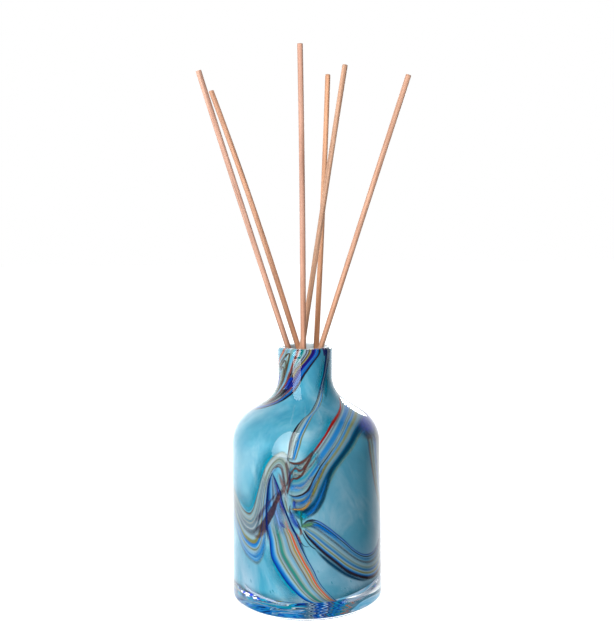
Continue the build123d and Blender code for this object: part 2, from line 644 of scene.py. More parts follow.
def neck_bands():
    """The neck's left side: a sweep that carries on round the back, a wedge, loops and fine threads."""
    striped_band("neck_sweep_band", [
        (0, TEAL, 0.4), (0.015, UMBER), (0.11, UMBER), (0.14, NAVY), (0.17, BLUE), (0.26, BLUE),
        (0.28, BROWN, 0.8), (0.31, AZURE), (0.34, ROYAL), (0.39, ROYAL), (0.42, INDIGO), (0.58, INDIGO),
        (0.61, GREY, 0.9), (0.64, OLIVE, 0.9), (0.67, OCHRE), (0.7, OLIVE), (0.74, UMBER), (0.78, BROWN),
        (0.82, PALE, 0.8), (0.87, PURPLE, 0.9), (0.92, BROWN, 0.8), (0.96, PALE, 0.8), (1, PALE, 0)],
        [(43, 134.5), (36, 131.6), (26, 129), (17, 126.6), (6, 123.3), (-2, 120.7), (-11, 117.2),
         (-23, 112.4), (-38, 108.2), (-54, 104.3), (-72, 101), (-92, 98), (-118, 92), (-146, 82),
         (-174, 68), (-203, 50), (-232, 33), (-262, 18)],
        [(3, 134.5), (-5, 131.6), (-13, 129), (-22, 126.8), (-33, 124.5), (-38, 122.5), (-43, 120),
         (-50, 117), (-61, 112.5), (-70, 107.6), (-84, 105.6), (-100, 104.2), (-122, 101), (-148, 92),
         (-174, 80), (-202, 64), (-230, 49), (-258, 38)], 3, wobble=0.03)
    striped_band("neck_low_band", [
        (0, TEAL, 0), (0.04, UMBER), (0.09, UMBER), (0.13, BLUE), (0.25, BLUE), (0.29, SKY, 0.9),
        (0.33, BROWN), (0.38, PALE), (0.45, SEA), (0.49, UMBER), (0.55, UMBER), (0.59, SEA), (0.67, PALE),
        (0.71, UMBER), (0.77, SAGE), (0.84, PALE), (0.88, BROWN, 0.9), (0.93, SEA, 0.9), (1, SEA, 0)],
        [(-23, 112.4), (-38, 108.2), (-54, 104.3), (-72, 101), (-92, 98), (-118, 92)],
        [(-44, 119), (-52, 115.5), (-62, 111.5), (-73, 107.2), (-92, 105), (-122, 101)],
        5, (0.35, 0.1), wobble=0.04)
    striped_band("neck_wedge", [
        (0, PALE, 0.8), (0.12, PALE, 0.9), (0.2, SEA), (0.3, GREEN), (0.42, DEEP), (0.6, DEEP),
        (0.68, PALE, 0.9), (0.78, WHITE, 0.9), (0.86, RUST), (0.94, BROWN), (1, SKY, 0)],
        [(5, 134.5), (-4, 131.6), (-12, 129), (-20, 126.3), (-28, 124)],
        [(-16, 134.5), (-20, 132), (-25, 129), (-30, 126.5), (-36, 123.5)], 4, (0, 0.3), wobble=0.06)
    striped_band("neck_loop_band", [
        (0, BROWN, 0.9), (0.03, BROWN, 0.9), (0.07, PALE, 0.8), (0.12, SKY, 0.9),
        (0.19, (0.04, 0.28, 0.37)), (0.28, SEA, 0.9), (0.4, SAGE, 0.8), (0.5, PALE, 0.9), (0.6, SKY, 0.8),
        (0.7, SAGE, 0.8), (0.8, PALE, 0.8), (0.9, SKY, 0.8), (1, SKY, 0)],
        [(-16, 134.5), (-21, 131.5), (-26, 128.8), (-32, 125.7), (-36, 123.4), (-42, 120.6), (-47, 117.8),
         (-54, 114.8), (-61, 112), (-68, 108.8), (-76, 105), (-96, 103), (-120, 100)],
        [(-54, 134.5), (-65, 131.6), (-79, 128.5), (-90, 125.5), (-98, 122.5), (-103, 120), (-107, 117.5),
         (-110, 115), (-113, 112.5), (-116, 110), (-120, 107.5), (-128, 105), (-140, 101)],
        2, (0, 0.2), wobble=0.08)
    threads("neck_rust_line", RUST, [
        (1.8, [(-53, 134.5), (-65, 131.6), (-79, 128.5), (-89, 125), (-96, 121)])], 5)
    threads("neck_loop_line", (0.055, 0.042, 0.026), [
        (1.2, [(-82, 123.4), (-73, 126.4), (-57, 129.8), (-46, 131.9), (-39, 132.3), (-41, 129.8),
         (-44, 127.1), (-48, 124.3), (-53, 121.5), (-60, 117.8), (-68, 113.8), (-74, 110.1), (-77, 107.3),
         (-82, 104.5)]),
        (1.2, [(-77, 123.5), (-64, 126.6), (-56, 128.3), (-51, 128), (-50, 126), (-53, 123.4), (-59, 120.2),
         (-66, 116.4), (-73, 112.7), (-79, 109.3)]),
        (1.1, [(-73, 122.5), (-64, 124.7), (-58, 124.1), (-60, 121.4), (-66, 117.6), (-73, 114.4),
         (-78, 111)])], 5, 0.95, 0.25, (0.05, 0.1))
    threads("neck_red_line", (0.13, 0.03, 0.024), [
        (1.3, [(-16, 134.5), (-21, 131.5), (-26, 128.8), (-32, 125.7), (-36, 123.4), (-42, 120.6),
         (-47, 117.8), (-54, 114.8), (-61, 112), (-68, 108.8), (-73, 106), (-82, 103.6)]),
        (0.9, [(-30, 114.8), (-43, 110.8), (-51, 108.1), (-59, 105.7), (-68, 103.8), (-80, 102)])
    ], 6, 0.95, 0.25, (0.03, 0.15))
    threads("neck_dark_line", UMBER, [
        (1.4, [(-42, 113.6), (-51, 111.6), (-58, 109.4), (-65, 107.3), (-72, 105), (-82, 103)]),
        (1.0, [(-50, 113), (-58, 111.3), (-66, 108.8), (-74, 106.4), (-82, 104.4)]),
        ([0.6, 1.2, 0.6], [(-33, 122.3), (-36, 121.2), (-39, 119.8)])], 7, 0.95)
    threads("neck_royal_patch", ROYAL, [
        ([1.6, 3.6, 3.4, 1.4], [(-30, 120.5), (-38, 117.3), (-46, 114.3), (-53, 111.8)]),
        ([0.8, 2.0, 1.6, 0.8], [(-75, 121), (-81, 117.9), (-85, 114.5), (-87, 111)])], 5, 1, 0.15)
    threads("neck_indigo_line", INDIGO, [
        ([0.6, 1.1, 1.0, 0.5], [(-28, 119.5), (-35, 117.2), (-41, 114.8), (-47, 112.8)])], 6)
    threads("neck_shadow", (0.02, 0.018, 0.1), [
        ([4.4, 2.2, 0.6], [(53, 134.5), (52, 133), (50.5, 130.5)])], 2, 1, 0.1, (0, 0.3))


def neck_ribbon():
    """The ribbon that comes down the neck's right side and crosses the shoulder to the middle."""
    striped_band("neck_ribbon_upper", [
        (0, TEAL, 0.5), (0.04, NAVY), (0.3, NAVY), (0.36, GREY), (0.5, GREY), (0.55, BROWN, 0.8),
        (0.6, SKY, 0.6), (0.67, NAVY, 0.9), (0.84, NAVY, 0.9), (0.92, TEAL, 0.9), (1, TEAL, 0)],
        [(55, 134.5), (53.5, 129.5), (50.5, 125.8), (46, 121.1), (40, 117.3), (33, 113.5), (25, 109.9),
         (17, 106.2), (8, 103.2)],
        [(82, 134.5), (74, 129), (67, 125.2), (60, 121.2), (53, 117.6), (46, 113.8), (38, 110), (30, 106.6),
         (20, 103.4)], 3, (0, 0.25), wobble=0.04)
    striped_band("neck_ribbon_lower", [
        (0, TEAL, 0.3), (0.04, NAVY), (0.1, UMBER), (0.16, MIST, 0.9), (0.22, GREY), (0.3, OLIVE, 0.7),
        (0.36, PALE, 0.8), (0.55, PALE, 0.9), (0.62, AZURE), (0.7, BLUE), (0.78, AZURE), (0.82, PALE, 0.9),
        (0.88, OLIVE), (0.93, OLIVE, 0.8), (1, TEAL, 0)],
        [(38, 116.2), (30, 112.2), (22, 108.4), (13, 105), (5, 102), (-4, 99.5), (-9, 96.5), (-12, 93),
         (-13, 89), (-14, 85), (-14.5, 81)],
        [(56, 119), (48, 114.8), (41, 111.4), (33, 108), (23, 104.6), (11, 101.6), (3, 97.5), (-2, 93),
         (-4, 89), (-6, 85), (-8, 81.5)], 4, (0.25, 0.05), wobble=0.04)
    threads("neck_ribbon_edge", UMBER, [
        ([0.5, 0.8, 1.2, 1.3, 0.9, 0.5], [(-6, 98.5), (-9.5, 96), (-11.5, 93), (-12.5, 90), (-13, 87),
         (-14, 84)])], 8, 1, 0.3)
    threads("neck_ribbon_line", GREY, [(0.7, [(-5, 93), (-8, 90), (-9.5, 86), (-10.5, 82)])], 8, 0.8, 0.3)
    threads("neck_ribbon_teal", (0.0, 0.15, 0.23), [
        ([1.0, 3.4, 3.8, 2.4, 1.0], [(64, 122.5), (61, 119), (54, 114), (44, 109.5), (33, 106)])
    ], 1, 0.8, 0.4, (0.3, 0.4))


def shoulder_bands():
    """The wide band from the right shoulder down to the folded middle, and the threads in it."""
    red_side = [(250, 134), (200, 128), (150, 120), (115, 114), (92, 110), (80, 106.5), (66, 104.2),
        (50, 102), (36, 99.5), (25, 97), (16, 93), (9, 88.5), (4, 85.5)]
    dark_side = [(262, 126), (212, 118), (160, 111), (125, 106), (104, 103), (90, 101.5), (74, 100.5),
        (58, 99), (42, 96.5), (31, 92.5), (21, 86.5), (12, 79.5), (7, 74)]
    striped_band("shoulder_upper_band", [
        (0, TEAL, 0.6), (0.02, (0.07, 0.014, 0.014)), (0.06, BROWN), (0.09, PALE, 0.9), (0.15, PALE, 0.9),
        (0.185, BROWN, 0.9), (0.22, GREY, 0.9), (0.26, SEA, 0.8), (0.33, PALE, 0.8),
        (0.38, (0.07, 0.18, 0.29)), (0.5, (0.008, 0.12, 0.32)), (0.66, (0.016, 0.13, 0.31)),
        (0.76, (0.06, 0.17, 0.3)), (0.8, SAGE, 0.8), (0.835, BROWN, 0.7), (0.86, PALE, 0.8),
        (0.92, DUSK, 0.9), (0.96, OLIVE, 0.8), (1, GREY, 0.9)],
        red_side,
        dark_side, 2, (0.06, 0.05), wobble=0.03)
    striped_band("mouth_fold", [
        (0, TEAL, 0.5), (0.05, BROWN, 0.5), (0.13, SEA, 0.7), (0.2, TEAL, 0.8), (0.3, SEA, 0.9),
        (0.36, BROWN, 0.6), (0.42, SEA, 0.9), (0.52, TEAL, 0.7), (0.6, SEA, 0.9), (0.7, BLUE, 0.8),
        (0.78, AZURE, 0.9), (0.88, SEA, 0.9), (0.95, PALE, 0.8), (0.98, UMBER, 0.9), (1, UMBER)],
        [(11, 90), (6, 86.8), (2, 84.2), (-2, 82), (-6, 81), (-10, 81), (-15, 81.5)],
        [(14, 82), (9, 76), (4, 70.5), (0, 66.5), (-5, 64.4), (-10, 64), (-15, 65)],
        3, (0.3, 0.15), wobble=0.1)
    dark_line = dark_side[:-1] + [(6, 73), (2, 68), (-2, 65.4), (-7, 64.3), (-14, 65)]
    out_side = [(268, 117), (218, 107), (168, 100), (135, 97), (112, 96), (96, 95.5), (80, 94.5), (64, 93),
        (50, 90.5), (40, 86), (30, 80.5), (22, 74), (17, 67), (13, 60), (8, 55), (-2, 52), (-12, 53)]
    striped_band("shoulder_lower_band", [
        (0, GREY, 0.9), (0.03, SKY, 0.9), (0.08, BLUE), (0.13, DUSK, 0.9), (0.19, (0.15, 0.16, 0.07), 0.95),
        (0.25, (0.14, 0.15, 0.07), 0.9), (0.31, (0.13, 0.2, 0.21), 0.9), (0.38, DUSK, 0.9),
        (0.44, (0.1, 0.16, 0.2), 0.9), (0.5, (0.01, 0.09, 0.18)), (0.58, SHADE), (0.66, (0.0, 0.022, 0.05)),
        (0.74, SHADE, 0.9), (0.83, (0.02, 0.11, 0.14), 0.8), (0.91, (0.12, 0.19, 0.12), 0.55),
        (1, SAGE, 0)],
        dark_line,
        out_side, 1, (0.06, 0.03), wobble=0.04)
    threads("shoulder_dark_line", UMBER, [
        ([0.5, 0.7, 0.9, 1.2, 1.1, 1.1, 0.9, 0.5], [(22, 88), (12, 80), (6, 73.5), (2, 67.8), (-2, 65.4),
         (-6, 64.3), (-10, 64), (-14, 64.8)])], 4, 1, 0.25)
    threads("shoulder_red_line", (0.19, 0.008, 0.006), [
        ([0.4, 0.5, 0.8, 1.1, 1.3, 1.3, 1.2, 1.0, 0.7], [(84, 107.6), (72, 105.2), (58, 103), (45, 101),
         (33, 98.8), (23, 96.2), (14, 91.8), (8, 88), (4, 85.5)])], 7, 1, 0.25, (0.1, 0.1))
    threads("shoulder_olive_line", (0.12, 0.12, 0.035), [
        ([1.2, 1.8, 2.2, 2.2, 1.6], [(18, 83), (12, 75.5), (7, 68.5), (4, 63.5), (2, 60.8)])
    ], 5, 0.9, 0.35, (0.2, 0.25))
    threads("shoulder_ochre_line", (0.25, 0.15, 0.036), [
        ([1.4, 2.0, 2.0, 1.4, 1.0], [(5, 64), (2, 60.8), (-2, 58), (-7, 57.5), (-13, 57.5)])
    ], 5, 0.85, 0.4, (0.3, 0.2))
    threads("shoulder_blue_line", (0.006, 0.085, 0.26), [
        ([1.8, 2.4, 3.0, 3.2, 3.2, 2.0], [(13, 79), (8, 71), (4, 66), (0, 62.3), (-5, 60.6), (-11, 61)]),
        ([1.6, 2.6, 3.4, 3.8, 3.0, 1.8], [(17, 75), (13, 67), (8, 60), (3.5, 56), (-3, 53.8), (-10, 54)])
    ], 4, 0.85, 0.42)
    threads("shoulder_dark_edge", SHADE, [
        ([1.2, 2.4, 2.8, 2.6, 1.8, 1.0], [(24, 81.8), (18, 74.9), (15, 67.8), (12, 61.5), (6.5, 56),
         (0.5, 52.6)])], 5, 0.8, 0.48, (0.25, 0.25))
    threads("shoulder_brown_line", (0.066, 0.026, 0.022), [
        ([0.9, 1.2, 1.9, 2.0, 1.6, 1.2], [(6, 87.2), (2, 84.3), (-2, 82), (-5, 81), (-9, 80.8),
         (-13, 81.5)]),
        ([0.8, 1.2, 1.5, 2.0, 1.5, 1.3, 1.3, 1.0], [(6, 86.5), (1, 81.5), (-2, 78.2), (-5, 77.2),
         (-8, 78.3), (-11, 76.2), (-13, 73.2), (-15, 69)]),
        ([0.7, 1.0, 1.3, 1.7, 1.5, 1.3, 1.1], [(5, 84.5), (0, 78.8), (-3, 75.2), (-7, 73.2), (-10, 73),
         (-12.5, 70.5), (-14.5, 65)])], 6, 0.9, 0.3, (0.1, 0.05))
    threads("shoulder_mist_line", MIST, [
        (2.0, [(4, 86), (-1, 80.3), (-4, 79), (-7, 80), (-10, 78.5)]),
        (2.4, [(3, 81), (-2, 75.8), (-6, 75.2), (-9, 75.8), (-12, 72)]),
        (2.4, [(7, 76), (2, 72), (-3, 68.5), (-8, 68.5), (-12, 67)])], 5, 0.6, 0.45, (0.3, 0.3))


def right_bands():
    """The dark patch on the right shoulder, the band down that side, and the low band at the right."""
    striped_band("right_patch", [
        (0, SKY, 0), (0.15, ROYAL, 0.8), (0.5, (0.0, 0.018, 0.2)), (0.72, SHADE, 0.9), (0.85, BROWN, 0.5),
        (1, OLIVE, 0)],
        [(110, 99), (90, 98.5), (74, 98), (62, 97), (50, 96)],
        [(108, 82), (84, 83), (66, 85.5), (54, 88), (44, 91)], 3, (0.3, 0.3), wobble=0.1)
    striped_band("right_side_band", [
        (0, SHADE, 0), (0.04, (0.06, 0.06, 0.13), 0.8), (0.09, OLIVE, 0.8), (0.14, DUSK, 0.9),
        (0.2, OLIVE, 0.6), (0.26, SKY, 0.9), (0.36, BLUE, 0.9), (0.45, PALE, 0.8), (0.55, MIST, 0.7),
        (0.65, BROWN, 0.7), (0.72, PALE, 0.7), (0.82, ROYAL, 0.9), (0.9, SKY, 0.8), (1, SKY, 0)],
        [(57, 91), (56, 85), (58, 78), (61, 71), (66, 61), (75, 51), (78, 44), (84, 36), (96, 30),
         (112, 26)],
        [(98, 98), (92, 88), (90, 79), (91, 70), (95, 60), (100, 52), (104, 46), (112, 40), (124, 37),
         (140, 36)], 3, (0.12, 0.3), wobble=0.04)
    striped_band("right_low_band", [
        (0, ROYAL, 0), (0.05, ROYAL, 0.95), (0.085, SKY, 0.9), (0.105, UMBER, 0.95), (0.125, UMBER, 0.95),
        (0.15, DUSK, 0.9), (0.2, AZURE, 0.6), (0.28, DUSK, 0.9), (0.355, BROWN, 0.5), (0.38, DUSK, 0.9),
        (0.47, PALE, 0.8), (0.53, SAGE, 0.7), (0.57, DUSK, 0.9), (0.64, BLUE, 0.8), (0.69, PALE, 0.8),
        (0.735, OLIVE), (0.765, OLIVE), (0.79, SKY, 0.9), (0.84, BLUE), (0.885, UMBER), (0.95, UMBER),
        (1, NAVY, 0)],
        [(82, 66), (81, 57), (80, 47), (78, 39), (72, 33), (64, 29.5), (54, 29), (45, 31), (37, 35),
         (29, 40.5), (21, 45.5), (14, 49.5), (8, 52), (2, 52.5), (-2, 51)],
        [(112, 60), (110, 48), (106, 38), (99, 27), (88, 19.5), (76, 15.5), (64, 14), (53, 15), (42, 18),
         (31, 22.5), (21, 28.5), (12, 34), (5, 39), (0, 43), (-3, 47)], 4, (0.05, 0.02), wobble=0.02)
    threads("right_low_shadow", SHADE, [
        ([0.8, 2.2, 2.8, 2.6, 1.6, 1.0], [(4, 38.5), (13, 32), (22, 26.5), (33, 20.8), (46, 16.3),
         (60, 14)])], 5, 0.9, 0.4, (0.2, 0.3))
    threads("right_low_line", UMBER, [
        ([0.5, 0.8, 0.8, 0.6], [(-4, 46.5), (-1, 42.5), (3, 38.7), (8, 36.5)]),
        ([0.5, 0.8, 0.9, 0.5], [(-3, 47.5), (0, 44.5), (4, 41), (9, 38)]),
        (0.5, [(-6, 44), (-4, 40.5), (-1, 38.5), (3, 38.5)])], 7, 0.85, 0.35)
    threads("right_low_blue", BLUE, [
        ([1.4, 3.0, 3.0, 1.6, 0.8], [(3, 48.5), (8, 49.3), (14, 46.5), (20, 43.5), (27, 39.5)])
    ], 6, 0.8, 0.4)


def centre_band():
    """The many-coloured band from the middle down to the foot, edged in navy."""
    striped_band("centre_band", [
        (0, TEAL, 0), (0.02, NAVY), (0.05, ROYAL), (0.09, BLUE), (0.14, AZURE), (0.18, SKY), (0.21, PALE),
        (0.27, OLIVE, 0.7), (0.3, PALE), (0.34, GREY, 0.8), (0.37, GREEN), (0.43, GREEN), (0.47, SAGE),
        (0.52, PALE, 0.9), (0.6, SKY, 0.8), (0.64, SAGE, 0.9), (0.665, BROWN, 0.9), (0.69, MIST),
        (0.73, MIST), (0.765, OCHRE), (0.79, OLIVE), (0.815, PALE), (0.83, ORANGE), (0.875, ORANGE),
        (0.89, SAGE), (0.93, GREY, 0.9), (0.95, PALE, 0.9), (0.965, BLUE), (0.985, NAVY), (1, TEAL, 0)],
        [(-31, 61), (-31.5, 54), (-31.5, 47), (-29.5, 40), (-28, 32), (-23, 26), (-17, 20.5), (-9, 14.5),
         (0, 9), (10, 2.5)],
        [(-18, 61), (-14, 54), (-11, 48), (-8, 44.5), (-4, 38.5), (-0.5, 33.5), (4.5, 27), (10, 19),
         (18, 12), (27, 5)], 5, (0.36, 0), wobble=0.025)
    threads("centre_edge", NAVY, [
        ([0.5, 0.8, 1.1, 1.3, 1.4, 1.5, 1.4, 1.2], [(-26, 75.5), (-29, 70.9), (-30.5, 66), (-31.3, 60),
         (-31.5, 54), (-31.4, 48), (-30.5, 42), (-29, 36)]),
        ([0.5, 0.7, 0.8, 0.9, 1.0, 1.1, 1.2, 1.4, 1.5, 1.2], [(-26, 75), (-23, 71), (-20, 66), (-18, 60.5),
         (-15, 55), (-12, 50), (-9, 46), (-5, 40.5), (-2, 35.5), (1, 31)])], 8, 1, 0.3, (0.02, 0.3))


def left_band():
    """The band round the left side, its arch, and the veils where it folds over."""
    striped_band("left_band", [
        (0, TEAL, 0), (0.012, BROWN, 0.9), (0.025, BROWN, 0.9), (0.045, SAGE, 0.7), (0.08, PALE, 0.9),
        (0.14, MIST, 0.9), (0.17, PURPLE, 0.35), (0.2, MIST, 0.9), (0.25, GREY, 0.85), (0.29, GREY, 0.9),
        (0.32, WHITE, 0.6), (0.36, BROWN, 0.5), (0.42, GREY, 0.8), (0.46, PALE, 0.8), (0.5, PALE, 0.85),
        (0.54, OLIVE), (0.585, OLIVE), (0.61, BLUE), (0.66, AZURE), (0.69, PALE, 0.9), (0.715, OLIVE, 0.8),
        (0.74, PALE, 0.9), (0.81, SKY, 0.9), (0.845, BLUE), (0.87, SKY, 0.9), (0.92, AZURE, 0.6),
        (0.96, OLIVE, 0.4), (1, OLIVE, 0)],
        [(-265, 93), (-235, 88), (-205, 78), (-175, 69), (-145, 69), (-118, 74), (-96, 71), (-78, 62.5),
         (-66, 57), (-57, 53), (-50, 52), (-46, 54), (-43, 58), (-40, 64), (-37, 70), (-33.5, 76),
         (-29, 81), (-24, 84.5), (-18, 86)],
        [(-262, 80), (-235, 70), (-205, 58), (-175, 47), (-145, 46), (-118, 52), (-95, 52), (-78, 44),
         (-66, 36), (-56, 29), (-46, 26), (-39, 26), (-34, 32), (-32, 42), (-32, 52), (-31, 61), (-29, 69),
         (-26, 74.5), (-21, 77)], 2, (0, 0.02), wobble=0.03)
    striped_band("arch_fold", [
        (0, SAGE, 0), (0.05, SAGE, 0.8), (0.12, MIST, 0.8), (0.25, WHITE, 0.7), (0.42, MIST, 0.85),
        (0.5, OLIVE, 0.5), (0.55, MIST, 0.9), (0.65, SAGE, 0.8), (0.75, PALE, 0.8), (0.84, BROWN, 0.7),
        (0.93, MIST, 0.6), (1, MIST, 0)],
        [(-37, 70), (-33, 77), (-28, 82), (-23, 85), (-18, 86.5), (-14, 85), (-12, 80), (-11.5, 74),
         (-12, 67)],
        [(-33, 61), (-31, 68), (-28, 73.5), (-25, 77), (-21.5, 78.5), (-18.5, 76.5), (-17.5, 73), (-16, 69),
         (-14, 65)], 3, (0.25, 0.2), wobble=0.1)
    threads("arch_line", BROWN, [
        ([0.6, 0.8, 1.2, 1.2, 1.0, 0.8], [(-25, 77.5), (-21.5, 78.7), (-18.7, 77.4), (-17.5, 73.5),
         (-16, 69), (-14, 65)]),
        ([1.0, 2.0, 1.4, 0.8], [(-15, 82), (-14.5, 79.5), (-14, 76), (-14, 72)])], 6, 0.7, 0.35)
    threads("arch_veil", (0.25, 0.3, 0.32), [
        ([1.4, 3.2, 4.4, 4.6, 3.4, 1.4], [(-23, 77), (-20, 73.5), (-17.5, 68), (-15.5, 62.5), (-14.5, 58),
         (-13, 54)])], 3, 0.55, 0.45, (0.2, 0.4))
    threads("arch_rust", (0.16, 0.06, 0.05), [
        ([0.6, 1.4, 2.4, 1.6, 0.8], [(-20.5, 76), (-19.5, 73), (-17.5, 69.5), (-16.5, 66), (-14, 63)])
    ], 7, 0.6, 0.4, (0.3, 0.3))
    threads("arch_olive", (0.13, 0.13, 0.05), [
        ([0.6, 1.4, 1.6, 0.8], [(-17, 64), (-15.5, 60), (-14, 56.5), (-11, 55)])
    ], 7, 0.55, 0.45, (0.3, 0.3))
    threads("peak_mist", (0.11, 0.19, 0.37), [
        ([3, 6, 7, 5, 2], [(-26, 61), (-24, 57), (-22, 52), (-20, 47), (-18, 43)])
    ], 6, 0.7, 0.5, (0.3, 0.35))
    threads("veil", (0.035, 0.02, 0.034), [
        ([1.0, 1.8, 2.6, 3.6, 4.2, 4.2, 3.0], [(-17.5, 69), (-21, 64.5), (-24, 59.5), (-27, 55),
         (-31, 50.5), (-36, 46), (-44, 42)])], 7, 0.8, 0.12, (0.2, 0.2))
    threads("veil_soft", PURPLE, [
        ([0.6, 1.2, 1.8, 2.4, 2.2], [(-22, 66), (-27, 61.5), (-33, 57), (-38, 51.5), (-44, 47.5)])
    ], 6, 0.6, 0.2, (0.15, 0.3))
    threads("veil_red", BROWN, [
        ([1.0, 2.0, 2.4, 1.8], [(-30, 47.5), (-34, 44), (-39, 41), (-45, 40.5)]),
        ([2.0, 2.2, 1.6], [(-17, 68), (-21, 62.5), (-25, 58.5)])], 7, 0.6, 0.25, (0.2, 0.25))
    threads("left_blue_fan", AZURE, [
        ([2.0, 4.5, 5.0, 3.0], [(-33, 42), (-35, 36), (-39, 31.5), (-46, 30)])], 3, 0.65, 0.45, (0.3, 0.3))
    striped_band("peak_fold", [
        (0, NAVY, 0), (0.08, NAVY, 0.9), (0.2, BLUE, 0.7), (0.32, SKY, 0.8), (0.45, PURPLE, 0.6),
        (0.55, MIST, 0.7), (0.68, AZURE, 0.6), (0.8, BROWN, 0.7), (0.92, ROYAL, 0.9), (1, NAVY, 0)],
        [(-27, 74.5), (-29.5, 70), (-31, 64), (-31.5, 58), (-31.5, 52)],
        [(-25.5, 74.5), (-22.5, 70), (-19.5, 64), (-16.5, 58), (-13.5, 52)], 4, (0.05, 0.3), wobble=0.12)


def knot():
    """Small darts of colour where the bands meet in the middle."""
    threads("knot_royal", ROYAL, [
        ([2.2, 3.6, 3.8, 2.8, 1.2], [(-13, 58), (-11, 54), (-9, 51), (-6.5, 48.5), (-4, 46)]),
        ([1.4, 2.0, 1.4], [(-9, 63), (-9, 60.3), (-9, 57.5)]),
        ([0.8, 1.6, 0.8], [(-21, 51), (-18.5, 49), (-16, 47.5)])], 7, 0.75, 0.45, (0.3, 0.3))
    threads("knot_dark", NAVY, [
        ([0.8, 1.4, 0.8], [(-13.5, 80), (-12.5, 75), (-12.5, 68)])], 7, 0.7, 0.45, (0.3, 0.3))
    threads("knot_teal", TEAL, [
        ([3.0, 5.0, 4.0], [(-8, 57), (-3, 54), (2, 52.5)]),
        ([1.5, 2.4, 2.0], [(-12, 79), (-11, 74), (-12, 68)]),
        ([1.2, 2.0, 1.2], [(-9, 78.5), (-7, 80.2), (-4, 79.5)])], 5, 0.7, 0.45, (0.3, 0.3))
    threads("knot_green", (0.008, 0.09, 0.05), [
        ([0.8, 1.3, 1.6, 1.0], [(-4, 57), (-4, 54), (-3.8, 51), (-3.5, 48.5)])], 8, 0.8, 0.4)
    threads("knot_moss", (0.06, 0.15, 0.07), [
        ([1.5, 3.6, 3.4, 1.2], [(-4.5, 48.5), (-1, 49.3), (2.5, 49.8), (6, 50.5)])], 6, 0.85, 0.4)
    threads("knot_line", UMBER, [
        ([0.4, 0.6, 0.5], [(-8, 53), (-5.5, 49.5), (-4, 46.5)]),
        ([0.4, 0.6, 0.5], [(-12, 60), (-12.5, 57), (-11, 54.5)]),
        ([0.5, 0.9, 1.2, 0.7], [(-3, 49.5), (0, 51.3), (4, 52), (8, 51.6)]),
        ([0.4, 0.5, 0.4], [(-7, 50), (-5, 47), (-3.5, 44)])], 9, 0.9, 0.35)
    threads("knot_rust", (0.28, 0.09, 0.03), [
        ([0.5, 1.6, 1.2], [(-5, 48.5), (-4.2, 46.3), (-4.8, 44)]),
        ([0.5, 1.0, 0.6], [(-7.5, 45.5), (-5.5, 42), (-4, 40)])], 8, 0.7, 0.4)


def under_liner(x, y, raised):
    """Points on the liner's underside."""
    return np.stack([x, y, np.full_like(x, casing_base - raised)], axis=-1)


def wavy(points, size, period):
    """A front-to-back line with its places left and right of it swaying."""
    line = smooth_line(points, 160)
    way = line[:, 1] / period
    line[:, 0] += size * (np.sin(2 * np.pi * way) + 0.4 * np.sin(5.3 * way))
    return line


def base_bands():
    """The canes gathered under the base, drawn across it by the punty, thin and bright: partly their own
    colours and partly painted light, set lighter than the same canes on the wall to lift the dim underside.
    """
    # Painted light: these cane colours, and the pale ones below, are set lighter than the wall bands' to make
    # up for the little light that reaches the underside.
    navy, royal, blue = (0.004, 0.02, 0.12), (0.006, 0.09, 0.52), (0.005, 0.18, 0.58)
    azure, teal, sky = (0.03, 0.36, 0.80), (0.01, 0.36, 0.46), (0.26, 0.56, 0.76)
    white, olive = (0.78, 0.86, 0.92), (0.24, 0.26, 0.05)
    swirl = cane_glass("glass_base_swirl", 13.0, [
        (0, navy), (0.34, blue), (0.37, azure), (0.40, royal), (0.425, teal), (0.45, white), (0.465, azure),
        (0.49, navy), (0.51, blue), (0.53, olive), (0.545, sky), (0.57, navy), (0.585, white), (0.605, teal),
        (0.63, azure), (0.66, navy), (0.69, royal)])
    band("base_swirl", [(-36, -16), (-24, -24), (-12, -30), (0, -32)],
         [(-34, 18), (-22, 26), (-10, 30), (2, 32)], swirl, 1, (0.05, 0.1), 24, 1.0, under_liner)
    pale = cane_glass("glass_base_pale", 9.0, [
        (0, (0.16, 0.50, 0.72)), (0.42, (0.30, 0.58, 0.76)), (0.5, (0.48, 0.66, 0.82)),
        (0.58, (0.66, 0.72, 0.84))])
    band("base_pale", [(14, -31), (15, 0), (14, 31)], [(31, -18), (36, 0), (31, 18)],
         pale, 1, (0, 0), 16, 1.0, under_liner)
    band("base_pale_edge", [(18, 8), (32, 9.5), (50, 11.5), (72, 12.5), (95, 12.5)],
         [(18, 3.5), (32, 3), (50, 2), (72, 1), (95, 0)], pale, 1, (0.1, 0.2), 12, 1.0)
    canes = band_glass("glass_base_canes", [
        (0, sky, 0), (0.03, white), (0.06, navy), (0.12, navy), (0.15, sky), (0.18, royal), (0.25, royal),
        (0.28, navy), (0.34, blue), (0.38, azure), (0.42, white), (0.45, navy), (0.53, royal), (0.57, olive),
        (0.60, navy), (0.64, blue), (0.70, teal), (0.74, navy), (0.80, royal), (0.87, azure), (0.90, navy),
        (0.95, teal), (1, sky, 0)])
    band("base_canes", wavy([(0, -32), (1, -12), (1, 8), (0, 31)], 0.8, 6.5),
         wavy([(11, -29), (11.4, -12), (11.4, 8), (11, 29)], 0.9, 6.5),
         canes, 3, (0, 0), 48, 0.6, under_liner)
    rust = band_glass("glass_base_rust", [
        (0, teal), (0.22, teal), (0.3, ORANGE), (0.5, (0.60, 0.24, 0.10)), (0.72, RUST), (0.8, sky),
        (1, sky, 0)])
    band("base_rust_thread", wavy([(13.0, -28), (12.4, -12), (11.6, 8), (10.8, 28)], 0.8, 8.0),
         wavy([(16.0, -28), (14.8, -12), (13.4, 8), (12.2, 28)], 0.8, 8.0),
         rust, 4, (0, 0), 16, 0.6, under_liner)


def in_foot(angle, height, raised):
    """Points inside the clear glass of the foot, just behind its outer face."""
    depth = 1.6
    return round_axis(angle, foot_radius - depth + raised, height)


